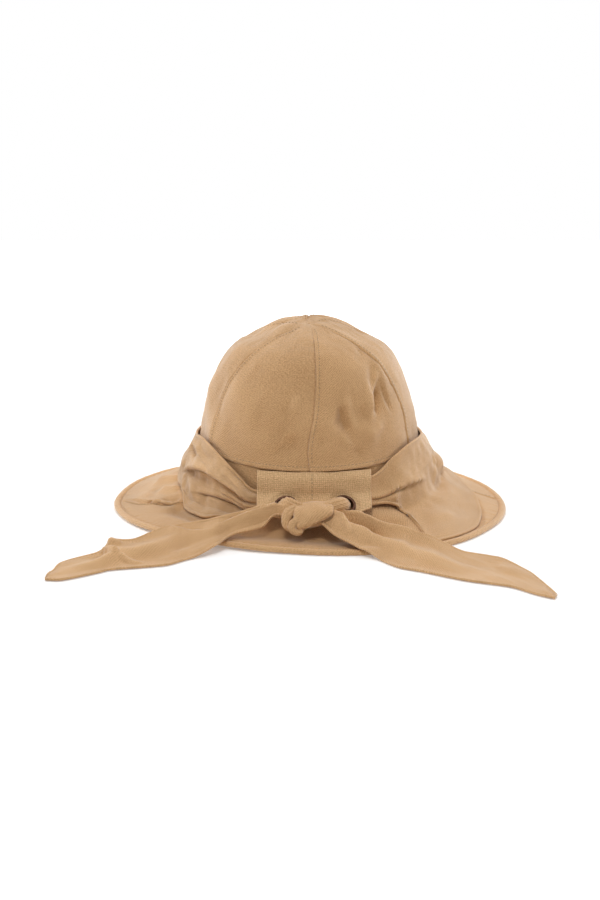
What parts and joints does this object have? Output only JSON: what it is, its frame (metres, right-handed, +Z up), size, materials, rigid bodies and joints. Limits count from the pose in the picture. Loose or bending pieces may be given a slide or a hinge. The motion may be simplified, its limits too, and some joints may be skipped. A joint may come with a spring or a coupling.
{
  "type": "cloche sun hat",
  "caption": "Soft six-panel cloche sun hat with a sloping brim and a wrapped scarf that passes through eyelets in a back tab and is knotted behind.",
  "frame": {"origin": "on the surface that the hat stands on, under the middle of the whole hat's box", "axes": "+Z up; -Y toward the hat's back, where the scarf is knotted; +Y toward the wearer's front; +X toward the wearer's right"},
  "size_m": [0.3452, 0.42, 0.1584],
  "materials": {
    "linen": "camel cotton-linen cloth, plain weave, matt, with tone-on-tone topstitching",
    "scarf_linen": "the same camel cloth, softer, pleated and creased",
    "canvas": "camel canvas with a fine square grid weave",
    "dark_metal": "dark reddish-brown antique metal, satin"
  },
  "bodies": {
    "root": {"crown_panel_back_left": "linen", "crown_panel_back_right": "linen", "crown_panel_side_right": "linen", "crown_panel_front_right": "linen", "crown_panel_front_left": "linen", "crown_panel_side_left": "linen", "band": "linen", "brim_back": "linen", "brim_front": "linen", "scarf_wrap": "scarf_linen", "back_tab": "canvas", "eyelet_left": "dark_metal", "eyelet_right": "dark_metal", "knot": "scarf_linen", "tie_end_left": "scarf_linen", "tie_end_right": "scarf_linen"}
  },
  "joints": []
}
